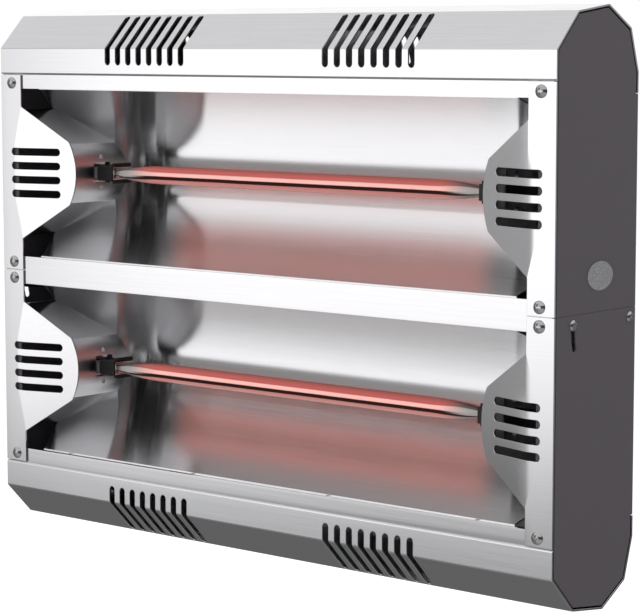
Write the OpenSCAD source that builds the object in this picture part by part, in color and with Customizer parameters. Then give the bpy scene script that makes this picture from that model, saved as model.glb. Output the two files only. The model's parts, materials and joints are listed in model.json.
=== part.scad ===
/* [Case] */
// Width over the ends of the two hoods
case_w = 450; // [420:5:560]
// Height of the top and bottom front rails
rail_h = 9.3; // [7:0.1:14]
// Height of the flat front strip of a hood
hood_face_h = 17.4; // [14:0.1:24]
// Depth taken by the front chamfer of a hood
chamfer_run = 20.4; // [16:0.1:26]
// Height gained over the front chamfer
chamfer_rise = 21; // [16:0.1:26]
// Depth taken by the crown face of a hood
ridge_run = 29.9; // [27:0.1:40]
// Height gained over the crown face
ridge_rise = 3.9; // [0:0.1:8]
// Depth taken by the first rear facet
slope_run = 22.6; // [18:0.1:30]
// Height lost over the first rear facet
slope_fall = 13.2; // [8:0.1:18]
// Depth taken by the steep rear facet
bevel_run = 7.8; // [5:0.1:12]
// Height lost over the steep rear facet
bevel_fall = 24.7; // [22:0.1:30]
// Height of the hood flange that laps the rear panel
back_lap = 12.2; // [10:0.1:14]
// Depth of the lip folded in under the front strip
hood_lip = 11; // [9:0.5:14]
// Sheet thickness of the hoods
hood_t = 1.2; // [0.8:0.1:1.6]
// Outer radius of the folds in the hoods
bend_r = 2; // [1.8:0.1:2.6]
// Outer radius of the fold under a hood's front strip
lip_r = 1.3; // [1.3:0.1:2.6]
// Sheet thickness of the rear panel
panel_t = 1; // [0.8:0.1:1.5]
// Dark groove between a hood's edge and the end cover
cover_groove = 1; // [0.8:0.1:1.6]
// Sheet thickness of the end covers
cover_t = 1.2; // [1:0.1:1.6]
// Depth of the wall round an end cover
cover_wall = 12; // [11:0.5:13]
// Setback of the end covers from the ends of the hoods
cover_setback = 0.2; // [0:0.1:1]
// Gap left at butted edges
joint_gap = 0.3; // [0.1:0.1:0.6]
// Gap between the two end covers of a side
seam_gap = 0.1; // [0.06:0.01:0.3]

/* [Heating modules] */
// Distance between the two lamp centre lines
lamp_pitch = 129.7; // [127:0.1:150]
// Height of the middle front rail
middle_rail_h = 18.4; // [17:0.1:24]
// Depth of the reflector mouths behind the front plane
mouth_set = 6; // [5:0.1:8]
// Depth of a reflector from mouth to crown
trough_d = 55; // [50:0.1:58]
// Power of the depth share that gives the reflector's half height
trough_curve_share = 0.52; // [0.5:0.01:0.7]
// Width of the reflector's flat lips behind the rails
trough_lip = 4.8; // [3:0.1:5.5]
// Step back of a reflector's edge from the rail's edge
trough_inset = 0.45; // [0.2:0.05:1]
// Sheet thickness of the reflectors
mirror_t = 0.8; // [0.6:0.1:1]
// Step outward from a guard's outline to the end reflector behind it
mirror_inset = 2; // [1.5:0.1:3]
// Width of an end reflector's ears behind the stile
ear_w = 4.4; // [2:0.1:4.6]
// Width of the cut corners of a reflector
corner_cut_w = 12.4; // [8:0.1:14]
// Height of the cut corners of a reflector
corner_cut_h = 12.2; // [8:0.1:13]
// Distance of the rails' folded edges from the stiles
rail_stand = 3; // [2:0.1:5]

/* [Stiles and guards] */
// Width of a stile
stile_w = 18.9; // [18.5:0.1:24]
// Sheet thickness of a stile and its guard
stile_t = 1.2; // [1:0.1:1.6]
// Sheet thickness of the rails
rail_t = 1; // [0.8:0.1:1.4]
// Angle by which a guard is folded in
guard_angle = 16.5; // [8:0.5:24]
// Clear height of a mouth above and below a guard's fold
guard_root_gap = 11.95; // [6:0.05:18]
// Height of a guard between its corners
guard_corner_h = 41.6; // [39:0.1:50]
// Length of a guard from its fold to its corners
guard_corner_len = 36.1; // [33:0.1:40]
// Length of a guard from its fold to the crown of its edge
guard_len = 41.3; // [41:0.1:46]
// Number of slots in a guard
guard_slots = 4; // [2:1:4]
// Distance between the slots of guards and hoods
slot_pitch = 9.27; // [8:0.01:9.5]
// Width of a guard slot
guard_slot_w = 4.8; // [3:0.1:6]
// Reach of a guard slot inward from the fold
guard_slot_in = 29.3; // [20:0.1:31]
// Reach of a guard slot outward from the fold
guard_slot_out = 9.7; // [6:0.1:10]

/* [Hood vents] */
// Number of slots in a group
vent_count = 8; // [4:1:8]
// Distance of a group's middle from the middle of the hood
vent_group_x = 91.4; // [60:0.1:120]
// Width of a hood slot
vent_w = 4.6; // [3:0.1:6]
// Length of a slot on the front strip
vent_face_len = 10.9; // [8:0.1:12]
// Length of a slot on the front chamfer
vent_chamfer_len = 28.1; // [15:0.1:28.2]
// Length of a slot on the steep rear facet
rear_vent_len = 18; // [12:0.1:19]

/* [Lamps] */
// Depth of the lamp's axis behind the front plane
lamp_d = 38; // [37:0.1:41]
// Outer diameter of the quartz tube
tube_dia = 12; // [11:0.1:12.6]
// Wall thickness of the quartz tube
tube_wall = 1; // [0.8:0.1:1.2]
// Length over which the tube draws in
tube_taper = 39; // [34:0.5:40]
// Reach of the drawn end into its holder
tube_entry = 1.3; // [0.8:0.1:2]
// Diameter where the tube meets its flat seal
tube_neck_dia = 4; // [3.4:0.1:5]
// Depth of the flat seal, front to back
seal_d = 8.5; // [7.2:0.1:9]
// Thickness of the flat seal
seal_t = 3.4; // [2.8:0.1:3.6]
// Length of the flat seal
seal_len = 12; // [10:0.1:12.4]
// Reach of the flat seal beyond the drawn end
seal_reach = 8.7; // [7.6:0.1:8.8]
// Diameter of the filament coil
coil_dia = 2.6; // [1.8:0.1:3]
// Reach of the filament coil beyond the tube's straight part
coil_reach = 9; // [2:0.5:14]
// Diameter of the lead wires
lead_dia = 1.1; // [0.8:0.1:1.3]
// Clearance of a lead wire in its seal
lead_gap = 0.1; // [0.05:0.01:0.2]

/* [Lamp holders] */
// Distance of a holder's open end from the end of the case
holder_in = 74.3; // [73:0.1:76]
// Length of a holder's block
block_len = 13; // [12.8:0.1:14]
// Depth of a holder's block
block_d = 18.1; // [17:0.1:19]
// Height of a holder's block
block_h = 9.7; // [9.6:0.1:10.4]
// Thickness of the collar round a holder's open end
collar_t = 2.5; // [2:0.1:3]
// Depth of the collar
collar_d = 15.4; // [14:0.1:16]
// Height of the collar
collar_h = 13.4; // [12:0.1:14.6]
// Thickness of a holder's front wall
pocket_wall = 1.4; // [1:0.1:1.8]
// Side of a holder's square neck
neck_w = 9.6; // [8:0.1:9.8]
// Length of a holder's neck
neck_len = 28.3; // [27:0.1:32]
// Thickness of the spring clip
clip_t = 0.9; // [0.6:0.1:1]
// Thickness of the spring clip's front web
clip_web_t = 1.3; // [0.9:0.1:1.5]
// Height over the spring clip
clip_h = 8.1; // [7.6:0.1:8.2]
// Length of the spring clip
clip_len = 11.6; // [11.4:0.1:12.2]
// Diameter of the dimples that hold the lamp's seal
dimple_dia = 3; // [2:0.1:4]
// Clearance between the dimples and the seal
dimple_gap = 0.05; // [0.02:0.01:0.1]
// Thickness of the holder's bracket
strap_t = 1.2; // [0.8:0.1:1.4]
// Height of the bracket's strap
strap_h = 8.2; // [6:0.1:9]
// Distance between a holder's block and the end of the strap
strap_stand = 3.6; // [1:0.1:4.5]
// Depth of the hole for a holder in its end reflector
hole_d = 15.2; // [13:0.1:18]
// Height of the hole for a holder in its end reflector
hole_h = 13.8; // [12:0.1:14.6]
// Height of the bracket's foot
foot_h = 28; // [26:0.5:32]
// Length of the bracket's foot
foot_len = 26; // [24:0.5:28]

/* [Tilt bracket] */
// Distance of the pivot line in front of the back plane
pivot_inset = 5.7; // [5.5:0.1:8]
// Distance of the pivot line below the middle of the case
pivot_drop = 5.7; // [5:0.1:8]
// Distance from the pivots to the clamp screws
clamp_r = 56.8; // [50:0.1:58]
// Largest tilt
tilt_max = 13; // [5:0.5:14]
// Spare angle at each end of the arc slots
slot_spare_angle = 0.4; // [0.2:0.1:1]
// Clearance of a clamp screw in its arc slot
slot_gap = 0.15; // [0.1:0.01:0.3]
// Thickness of the tilt bracket
arm_t = 3; // [2:0.1:3.2]
// Height of the tilt bracket
arm_h = 24; // [20:0.5:24]
// Height of the tilt bracket's arms at the clamp screws
arm_tip_h = 16; // [14:0.5:18]
// Gap between an arm and the end cover
arm_gap = 0.2; // [0.1:0.05:0.4]
// Room round an arm where it leaves the case
arm_room = 2.5; // [2.2:0.1:4]
// Gap between the case and the web of the tilt bracket
web_gap = 5.3; // [5.2:0.1:8]
// Fold radius of the tilt bracket
arm_bend_r = 5; // [4:0.5:5.5]

/* [Wall bracket] */
// Distance from the back plane of the case to the wall
standoff = 42; // [40:0.5:60]
// Width of the wall bracket
wall_w = 160; // [140:1:200]
// Height of the wall bracket
wall_h = 100; // [94:1:120]
// Sheet thickness of the wall bracket
wall_t = 2; // [1.5:0.1:2.5]
// Height of the raised web of the wall bracket
hat_top_h = 28; // [26:0.5:30]
// Height between the flanges of the wall bracket
hat_base_h = 56; // [50:0.5:60]
// Distance between the wall holes, sideways
hole_x = 120; // [100:1:130]
// Distance between the wall holes, upright
hole_z = 78; // [74:1:82]
// Diameter of the wall holes
hole_dia = 6; // [5:0.1:8]
// Distance between the bolts that join the brackets
bolt_x = 110; // [90:1:120]

/* [Fasteners] */
// Diameter of the front frame screws
frame_screw_dia = 3.5; // [3:0.1:4]
// Head diameter of the front frame screws
frame_head_dia = 7.6; // [6:0.1:8]
// Head height of the front frame screws
frame_head_h = 2.4; // [1.8:0.1:3]
// Length of the front frame screws
frame_screw_len = 8; // [6:0.5:9]
// Distance of the frame screws from the ends of the case
frame_screw_in = 10.3; // [9.6:0.1:11]
// Height of the inner frame screws above the middle
frame_screw_low = 5.4; // [4:0.1:6]
// Distance of the outer frame screws below the hood
frame_screw_high = 5.6; // [4:0.1:6]
// Diameter of the pivot and clamp screws
side_screw_dia = 3.5; // [3.5:0.1:4.2]
// Head diameter of the pivot and clamp screws
side_head_dia = 6.5; // [6:0.1:7.4]
// Head height of the pivot and clamp screws
side_head_h = 1.6; // [1.4:0.1:2.6]
// Gap under the heads of the pivot and clamp screws
side_head_gap = 0.1; // [0.05:0.01:0.3]
// Running clearance of the pivot screws
pivot_gap = 0.05; // [0.02:0.01:0.09]
// Side of the square nuts on the arms
nut_w = 7; // [6.5:0.1:7.4]
// Thickness of the square nuts
nut_t = 4; // [3:0.1:4.5]
// Clearance of a fixed screw or rivet in its hole
fix_gap = 0.04; // [0.02:0.01:0.1]
// Diameter of the rivets
rivet_dia = 3.2; // [2.8:0.1:4]
// Head diameter of the rivets
rivet_head_dia = 6; // [5:0.1:6.4]
// Head height of the rivets
rivet_head_h = 1.4; // [1:0.1:1.6]
// Diameter of the bracket bolts
bolt_dia = 6; // [5:0.1:6.5]
// Head diameter of the bracket bolts
bolt_head_dia = 11; // [9:0.1:12]
// Head height of the bracket bolts
bolt_head_h = 3; // [2:0.1:3.2]
// Width over the corners of the bolts' nuts
bolt_nut_w = 11.5; // [10:0.1:12]
// Height of the bolts' nuts
bolt_nut_h = 5; // [4:0.1:6]

/* [Wiring] */
// Width of the terminal block
terminal_w = 56; // [40:1:70]
// Depth of the terminal block
terminal_d = 15; // [12:0.5:18]
// Height of the terminal block
terminal_h = 22; // [18:0.5:26]
// Number of poles of the terminal block
terminal_poles = 4; // [3:1:4]
// Diameter of the terminal screws
terminal_screw_dia = 5; // [4:0.1:6]
// Outer diameter of the lamp wires
wire_dia = 2.4; // [1.6:0.1:3]
// Distance of the cable gland from the end of the case
gland_in = 105; // [75:1:115]
// Distance of the cable gland above the lower hood's flange
gland_rise = 27; // [18:1:34]
// Thread diameter of the cable gland
gland_dia = 16; // [14:0.5:18]
// Width over the corners of the gland's hexagons
gland_hex_w = 22; // [20:0.5:24]
// Length of the gland's hexagon
gland_hex_len = 5; // [4:0.5:6]
// Length of the gland's cap
gland_cap_len = 11; // [9:0.5:14]
// Diameter of the gland's cable bore
gland_bore = 8; // [6:0.5:9]
// Length of the gland's inner thread
gland_thread_len = 9; // [8:0.5:12]
// Thickness of the gland's lock nut
gland_nut_t = 4; // [3:0.5:5]

/* [End badge] */
// Width of the blank oval badge
badge_w = 25; // [20:0.5:30]
// Height of the blank oval badge
badge_h = 16.6; // [12:0.1:20]
// Thickness of the blank oval badge
badge_t = 0.6; // [0.3:0.1:1]
// Depth of the badge's middle behind the front plane
badge_d = 43.7; // [30:0.1:50]
// Height of the badge's middle above the middle of the case
badge_z = 20.4; // [16:0.1:60]

/* [Hidden] */
$fn = 48;
// Overrun of every cut
over_share = 0.0022;
over = case_w * over_share;
// Steps in a fold
bend_steps = 5;
// Heights of the case's corners above its middle
mouth_h = lamp_pitch - middle_rail_h;
mouth_top = (lamp_pitch + mouth_h) / 2;
mouth_low = middle_rail_h / 2;
joint_h = mouth_top + rail_h;
face_h = joint_h + hood_face_h;
chamfer_h = face_h + chamfer_rise;
ridge_h = chamfer_h + ridge_rise;
slope_h = ridge_h - slope_fall;
bevel_h = slope_h - bevel_fall;
lap_h = bevel_h - back_lap;
// Depths of the case's corners behind the front plane
ridge_d = chamfer_run + ridge_run;
slope_d = ridge_d + slope_run;
case_d = slope_d + bevel_run;
panel_back = case_d - hood_t;
panel_front = panel_back - panel_t;
rear_inset = hood_t + panel_t;
front_inset = stile_t + rail_t;
crown_inset = hood_t + cover_groove;
crown_d = mouth_set + trough_d;
trough_half = mouth_h / 2 - trough_inset;
// Distances from the middle of the case, sideways
half_w = case_w / 2;
cover_out = half_w - cover_setback;
cover_in = cover_out - cover_t;
arm_out = cover_in - arm_gap;
arm_in = arm_out - arm_t;
fold_x = half_w - stile_w;
frame_screw_x = half_w - frame_screw_in;
holder_x = half_w - holder_in;
holder_out = holder_x + block_len + neck_len;
gland_x = half_w - gland_in;
gland_low = lap_h - gland_rise;
// The pivot line and the brackets behind the case
pivot_d = case_d - pivot_inset;
clamp_d = pivot_d - clamp_r;
web_front = case_d + web_gap;
web_back = web_front + arm_t;
wall_d = case_d + standoff;
hat_front = web_back;
hat_back = hat_front + wall_t;
arc_slot_w = side_screw_dia + 2 * slot_gap;
arm_notch_h = arm_h / 2 + arm_room;
arm_notch_x = arm_in - nut_t - arm_room;
// Rivets through the rear panel: sideways shares of the half width, shares of heights
lap_rivet_shares = [0.27, 0.8];
cover_rivet_shares = [0.3, 0.75];
lap_rivet_h_share = 0.42;
lap_rivet_h = lap_h + back_lap * lap_rivet_h_share;
cover_rivet_x = cover_in - cover_wall / 2;
terminal_rivet_share = 0.36;
terminal_rivet_x = terminal_w * terminal_rivet_share;
rail_rivet_shares = [0.25, 0.75];

function unit(v) = v / norm(v);
// Quarter turn to the right of a step
function right_of(v) = [v.y, -v.x];
function turned(v, a) = [v.x * cos(a) - v.y * sin(a), v.x * sin(a) + v.y * cos(a)];
// Corner i of an open path, moved to the right by t and mitred
function mitred(path, i, t) =
  let (last = len(path) - 1)
  let (into = unit(i > 0 ? path[i] - path[i - 1] : path[1] - path[0]))
  let (out = unit(i < last ? path[i + 1] - path[i] : path[last] - path[last - 1]))
  let (middle = unit(right_of(into) + right_of(out)))
  path[i] + middle * t / (middle * right_of(into));
function offset_path(path, t) = [for (i = [0:len(path) - 1]) mitred(path, i, t)];
// Outline of a sheet whose outer face follows the path
function strip(path, t) =
  let (inner = offset_path(path, t))
  concat(path, [for (i = [len(path) - 1:-1:0]) inner[i]]);
// Points of the fold of radius r at corner b
function fold(a, b, c, r) =
  let (u = unit(a - b), v = unit(c - b))
  let (half = acos(u * v) / 2)
  let (centre = b + unit(u + v) * r / sin(half))
  let (start = b + u * r / tan(half) - centre)
  let (turn = (180 - 2 * half) * sign(cross(b - a, c - b)))
  [for (i = [0:bend_steps]) centre + turned(start, turn * i / bend_steps)];
// Path with its inner corners folded, the first of them to a radius of its own
function folded(path, r, first_r) =
  let (last = len(path) - 1)
  [for (i = [0:last])
    each i == 0 || i == last ? [path[i]]
      : fold(path[i - 1], path[i], path[i + 1], i == 1 ? first_r : r)];
// Share of the reflector's depth at a share of its half height
function trough_depth(s) = trough_d * pow(abs(s), 1 / trough_curve_share);
trough_steps = 14;
trough_curve = [for (i = [-trough_steps:trough_steps])
  [crown_d - trough_depth(i / trough_steps), trough_half * i / trough_steps]];

// Everything is drawn from the front plane and the case's middle, then set on the wall
module in_case() translate([0, -wall_d, pivot_drop]) children();
module both_sides() {
  children();
  mirror([1, 0, 0]) children();
}
module both_heights() {
  children();
  mirror([0, 0, 1]) children();
}
// Outlines are drawn in depth and height and pushed out sideways
module along_x(length) rotate([90, 0, 90]) linear_extrude(length, center = true) children();
module from_x(x, length) translate([x + length / 2, 0, 0]) along_x(length) children();
module slot_outline(length, width) {
  translate([width / 2, -width / 2]) square([length - width, width]);
  translate([width / 2, 0]) circle(d = width);
  translate([length - width / 2, 0]) circle(d = width);
}
// Upright slot that cuts through a sheet facing the front
module upright_slot(length, width, depth)
  rotate([90, 0, 0]) rotate([0, 0, 90]) linear_extrude(depth, center = true)
    slot_outline(length, width);
// Cylinder along Y or X from its start
module rod_y(d, length) rotate([-90, 0, 0]) cylinder(d = d, h = length);
module rod_x(d, length) rotate([0, 90, 0]) cylinder(d = d, h = length);
// Domed head with a cross recess, standing on its base
dome_share = 1.12;
recess_len_share = 0.54;
recess_w_share = 0.13;
recess_floor_share = 0.45;
module pan_head(d, h) {
  crown = (d * d / 4 + h * h) / (2 * h) * dome_share;
  recess = [d * recess_len_share, d * recess_w_share];
  difference() {
    intersection() {
      cylinder(d = d, h = h);
      translate([0, 0, h - crown]) sphere(crown);
    }
    for (a = [0, 90]) rotate(a)
      translate([-recess.x / 2, -recess.y / 2, h * recess_floor_share])
        cube([recess.x, recess.y, h]);
  }
}

// Hoods
function hood_path() = folded([[hood_lip, joint_h], [0, joint_h], [0, face_h],
  [chamfer_run, chamfer_h], [ridge_d, ridge_h], [slope_d, slope_h],
  [case_d, bevel_h], [case_d, lap_h]], bend_r, lip_r);
chamfer_angle = atan2(chamfer_run, chamfer_rise);
bevel_angle = atan2(bevel_run, -bevel_fall);
vent_depth = 4 * hood_t;
module vent_places()
  for (side = [-1, 1]) for (i = [0:vent_count - 1])
    translate([side * vent_group_x + (i - (vent_count - 1) / 2) * slot_pitch, 0, 0]) children();
module hood_vent() {
  translate([0, 0, face_h - vent_face_len])
    upright_slot(vent_face_len + vent_w / 2, vent_w, vent_depth);
  translate([0, 0, face_h]) rotate([-chamfer_angle, 0, 0]) translate([0, 0, -vent_w / 2])
    upright_slot(vent_chamfer_len + vent_w / 2, vent_w, vent_depth);
  translate([0, slope_d + bevel_run / 2, slope_h - bevel_fall / 2])
    rotate([-bevel_angle, 0, 0]) translate([0, 0, -rear_vent_len / 2])
      upright_slot(rear_vent_len, vent_w, vent_depth);
}
module hood() difference() {
  along_x(case_w) polygon(strip(hood_path(), hood_t));
  both_sides() translate([cover_in - cover_wall - joint_gap, hood_t, joint_h - over])
    cube([half_w, hood_lip, hood_t + over + joint_gap]);
  vent_places() hood_vent();
  both_sides() lap_rivet_places() rod_y(rivet_dia + 2 * fix_gap, case_d);
  both_sides() rail_rivet_places() cylinder(d = rivet_dia + 2 * fix_gap, h = 2 * rail_h);
}
module top_hood() color("lightgray") in_case() hood();
module bottom_hood() color("lightgray") in_case() mirror([0, 0, 1]) hood();

// Rear panel
module lap_rivet_places() for (s = lap_rivet_shares)
  translate([half_w * s, 0, lap_rivet_h]) children();
module cover_rivet_places() for (s = cover_rivet_shares)
  translate([cover_rivet_x, 0, lap_h * s]) children();
panel_half_w = half_w - crown_inset - joint_gap;
panel_half_h = bevel_h - rear_inset - hood_t;
module arm_notch() translate([arm_notch_x, crown_d, -pivot_drop - arm_notch_h])
  cube([half_w, case_d, 2 * arm_notch_h]);
module rear_panel() color("silver") in_case() difference() {
  translate([-panel_half_w, panel_front, -panel_half_h])
    cube([2 * panel_half_w, panel_t, 2 * panel_half_h]);
  both_sides() arm_notch();
  both_sides() both_heights() {
    lap_rivet_places() rod_y(rivet_dia + 2 * fix_gap, case_d);
    cover_rivet_places() rod_y(rivet_dia + 2 * fix_gap, case_d);
  }
  translate([gland_x, 0, -gland_low]) rod_y(gland_dia + 2 * fix_gap, case_d);
  both_sides() translate([terminal_rivet_x, 0, 0])
    rod_y(rivet_dia + 2 * fix_gap, case_d);
}

// End covers: a plate inside the hoods with a wall round it
// The case's outline, set in by the sheets that lap it
function cover_outline(t) =
  let (crown = offset_path([[0, 0], [0, face_h], [chamfer_run, chamfer_h],
    [ridge_d, ridge_h], [slope_d, slope_h], [case_d, bevel_h], [case_d, 0]], crown_inset + t))
  [[front_inset + t, seam_gap / 2],
    [front_inset + t, crown[1].y], crown[2], crown[3], crown[4],
    [case_d - rear_inset - t, crown[5].y], [case_d - rear_inset - t, seam_gap / 2]];
module end_cover() difference() {
  union() {
    from_x(cover_in, cover_t) {
      polygon(cover_outline(0));
      translate([case_d - 2 * rear_inset, seam_gap / 2])
        square([2 * rear_inset, lap_h - joint_gap - seam_gap / 2]);
    }
    from_x(cover_in - cover_wall, cover_wall) difference() {
      polygon(cover_outline(0));
      polygon(concat([for (p = cover_outline(cover_t)) p],
        [[case_d - rear_inset - cover_t, -over], [front_inset + cover_t, -over]]));
    }
  }
  cover_rivet_places() rod_y(rivet_dia + 2 * fix_gap, case_d);
  for (h = [frame_screw_low, joint_h - frame_screw_high])
    translate([frame_screw_x, 0, h]) rod_y(frame_screw_dia + 2 * fix_gap, chamfer_run);
}
// The arm leaves through the rear wall of both covers of an end
module wall_notch() intersection() {
  arm_notch();
  translate([0, 0, -half_w]) cube([cover_in, case_d, case_w]);
}
module upper_end_cover() difference() {
  end_cover();
  wall_notch();
}
// Points of an arc about a centre, with or without its two ends
function arc_points(centre, r, from, to, steps, skip = 0) =
  [for (i = [skip:steps - skip])
    let (a = from + (to - from) * i / steps)
    centre + r * [cos(a), sin(a)]];
arc_slot_steps = 12;
module arc_slot() {
  from = 180 - slot_spare_angle;
  to = 180 + tilt_max + slot_spare_angle;
  half = arc_slot_w / 2;
  polygon(concat(
    arc_points([0, 0], clamp_r + half, from, to, arc_slot_steps),
    arc_points(clamp_r * [cos(to), sin(to)], half, to, to + 180, arc_slot_steps, 1),
    arc_points([0, 0], clamp_r - half, to, from, arc_slot_steps),
    arc_points(clamp_r * [cos(from), sin(from)], half, from + 180, from + 360,
      arc_slot_steps, 1)));
}
module lower_end_cover() difference() {
  mirror([0, 0, 1]) end_cover();
  wall_notch();
  translate([0, pivot_d, -pivot_drop]) rod_x(side_screw_dia + 2 * pivot_gap, half_w);
  translate([0, pivot_d, -pivot_drop]) from_x(arm_out, cover_t + 2 * arm_gap) arc_slot();
}
module upper_right_end_cover() color("dimgray") in_case() upper_end_cover();
module upper_left_end_cover() color("dimgray") in_case() mirror([1, 0, 0]) upper_end_cover();
module lower_right_end_cover() color("dimgray") in_case() lower_end_cover();
module lower_left_end_cover() color("dimgray") in_case() mirror([1, 0, 0]) lower_end_cover();

// Blank oval badge on the upper right end cover
badge_points = 48;
module end_badge() color("darkgray") in_case() translate([0, badge_d, badge_z])
  from_x(cover_out, badge_t)
    polygon([for (i = [0:badge_points - 1])
      [badge_w / 2 * cos(360 * i / badge_points), badge_h / 2 * sin(360 * i / badge_points)]]);

// Stiles, each in one piece with the guard over a lamp's end
guard_rise = guard_len - guard_corner_len;
guard_arc_r = (pow(guard_corner_h / 2, 2) + pow(guard_rise, 2)) / (2 * guard_rise);
guard_arc_a = asin(guard_corner_h / 2 / guard_arc_r);
guard_root_h = mouth_h - 2 * guard_root_gap;
guard_arc_steps = 12;
guard_outline = concat([[0, -guard_root_h / 2]],
  [for (i = [-guard_arc_steps:guard_arc_steps])
    let (a = guard_arc_a * i / guard_arc_steps)
    [guard_len - guard_arc_r + guard_arc_r * cos(a), guard_arc_r * sin(a)]],
  [[0, guard_root_h / 2]]);
module guard_slot_rows() for (i = [0:guard_slots - 1])
  translate([0, (i - (guard_slots - 1) / 2) * slot_pitch]) children();
module stile() difference() {
  union() {
    translate([fold_x, 0, joint_gap / 2])
      cube([stile_w, stile_t, joint_h - joint_gap * 1.5]);
    translate([fold_x, 0, lamp_pitch / 2]) rotate([0, 0, -guard_angle])
      rotate([-90, 0, 0]) mirror([1, 0, 0]) linear_extrude(stile_t) polygon(guard_outline);
  }
  translate([fold_x, 0, lamp_pitch / 2]) rotate([0, 0, -guard_angle])
    rotate([-90, 0, 0]) mirror([1, 0, 0]) linear_extrude(4 * stile_t, center = true)
      guard_slot_rows() translate([-guard_slot_w / 2, 0])
        slot_outline(guard_slot_in + guard_slot_w / 2, guard_slot_w);
  translate([fold_x, 0, lamp_pitch / 2]) rotate([-90, 0, 0])
    linear_extrude(4 * stile_t, center = true)
      guard_slot_rows() translate([-guard_slot_w / 2, 0])
        slot_outline(guard_slot_out + guard_slot_w / 2, guard_slot_w);
  for (h = [frame_screw_low, joint_h - frame_screw_high])
    translate([frame_screw_x, -over, h]) rod_y(frame_screw_dia + 2 * fix_gap, 3 * stile_t);
}
module upper_right_stile() color("gainsboro") in_case() stile();
module upper_left_stile() color("gainsboro") in_case() mirror([1, 0, 0]) stile();
module lower_right_stile() color("gainsboro") in_case() mirror([0, 0, 1]) stile();
module lower_left_stile() color("gainsboro") in_case() rotate([0, 180, 0]) stile();

// Rails
rail_flange_half = fold_x - rail_stand;
rail_tab_half = cover_in - cover_t;
rail_return = hood_lip - stile_t;
module rail_rivet_places() for (s = rail_rivet_shares)
  translate([half_w * s, stile_t + rail_return / 2, joint_h - rail_h]) children();
module rail_screw_holes(heights) both_sides() for (h = heights)
  translate([frame_screw_x, 0, h]) rod_y(frame_screw_dia + 2 * fix_gap, mouth_set);
module edge_rail() difference() {
  union() {
    along_x(2 * rail_flange_half) polygon(strip([[mouth_set, mouth_top],
      [stile_t, mouth_top], [stile_t, joint_h], [stile_t + rail_return, joint_h]], rail_t));
    translate([-rail_tab_half, stile_t, mouth_top]) cube([2 * rail_tab_half, rail_t, rail_h]);
  }
  rail_screw_holes([joint_h - frame_screw_high]);
  both_sides() rail_rivet_places() cylinder(d = rivet_dia + 2 * fix_gap, h = 2 * rail_h);
}
module top_rail() color("whitesmoke") in_case() edge_rail();
module bottom_rail() color("whitesmoke") in_case() mirror([0, 0, 1]) edge_rail();
module middle_rail() color("whitesmoke") in_case() difference() {
  union() {
    along_x(2 * rail_flange_half) polygon(strip([[mouth_set, -mouth_low],
      [stile_t, -mouth_low], [stile_t, mouth_low], [mouth_set, mouth_low]], rail_t));
    translate([-rail_tab_half, stile_t, -mouth_low])
      cube([2 * rail_tab_half, rail_t, 2 * mouth_low]);
  }
  rail_screw_holes([-frame_screw_low, frame_screw_low]);
}

// Reflectors
trough_path = concat([[mouth_set, -trough_half - trough_lip]], trough_curve,
  [[mouth_set, trough_half + trough_lip]]);
// Face of an end reflector, seen from the front: the guard's outline moved outward
mirror_line = offset_path([for (p = guard_outline)
  [fold_x - p.x * cos(guard_angle), p.y]], mirror_inset);
mirror_root = mirror_line[len(mirror_line) - 1];
lip_x = mirror_root.x - corner_cut_w;
lip_h = mirror_root.y + corner_cut_h;
module along_y(length) rotate([-90, 0, 0]) linear_extrude(length) children();
// Everything outside the end reflectors and the cut corners
module beyond_mirror() along_y(case_d) polygon(concat(
  [[lip_x, -mouth_h], [lip_x, -lip_h]], mirror_line, [[lip_x, lip_h], [lip_x, mouth_h],
  [case_w, mouth_h], [case_w, -mouth_h]]));
module reflector() difference() {
  along_x(2 * fold_x) polygon(strip(trough_path, mirror_t));
  both_sides() beyond_mirror();
}
module upper_reflector() color("silver") in_case() translate([0, 0, lamp_pitch / 2]) reflector();
module lower_reflector() color("silver") in_case() translate([0, 0, -lamp_pitch / 2]) reflector();

// End reflectors: sheet folded along the guard's outline and run straight back to the trough
mirror_margin = 2 * mirror_t;
ear_x = mirror_root.x + ear_w;
mirror_path = concat([[ear_x, -mirror_root.y]], mirror_line, [[ear_x, mirror_root.y]]);
module end_reflector() difference() {
  intersection() {
    along_y(case_d) polygon(strip(mirror_path, mirror_t));
    along_x(case_w) polygon(concat([[stile_t, -trough_half]],
      offset_path(trough_curve, mirror_t + mirror_margin), [[stile_t, trough_half]]));
  }
  translate([fold_x, 0, 0]) rotate([0, 0, -guard_angle])
    translate([-half_w, stile_t + joint_gap - half_w, -mouth_h])
      cube([half_w, half_w, 2 * mouth_h]);
  translate([0, lamp_d - hole_d / 2, -hole_h / 2]) cube([half_w, hole_d, hole_h]);
  both_heights() translate([holder_x, lamp_d, foot_rivet_h])
    rod_x(rivet_dia + 2 * fix_gap, block_len + neck_len);
}
// Outer face of the end reflector's curved middle at a height
function mirror_lean(h) = atan(cos(guard_angle) * h / sqrt(guard_arc_r * guard_arc_r - h * h));
function mirror_back(h) = fold_x + (mirror_inset + mirror_t) / cos(mirror_lean(h))
  - cos(guard_angle) * (guard_len - guard_arc_r + sqrt(guard_arc_r * guard_arc_r - h * h));
foot_rivet_h = (foot_h + hole_h) / 4;
foot_x = mirror_back(foot_h / 2) + fix_gap;
foot_rivet_in = mirror_back(foot_rivet_h) - mirror_t / 2;
module foot_rivet_places() both_heights() translate([foot_rivet_in, lamp_d, foot_rivet_h])
  children();
module upper_right_end_reflector() color("lightsteelblue") in_case() upper() end_reflector();
module upper_left_end_reflector() color("lightsteelblue") in_case() upper() left() end_reflector();
module lower_right_end_reflector() color("lightsteelblue") in_case() lower() end_reflector();
module lower_left_end_reflector() color("lightsteelblue") in_case() lower() left() end_reflector();
module upper() translate([0, 0, lamp_pitch / 2]) children();
module lower() translate([0, 0, -lamp_pitch / 2]) children();
module left() mirror([1, 0, 0]) children();

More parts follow.
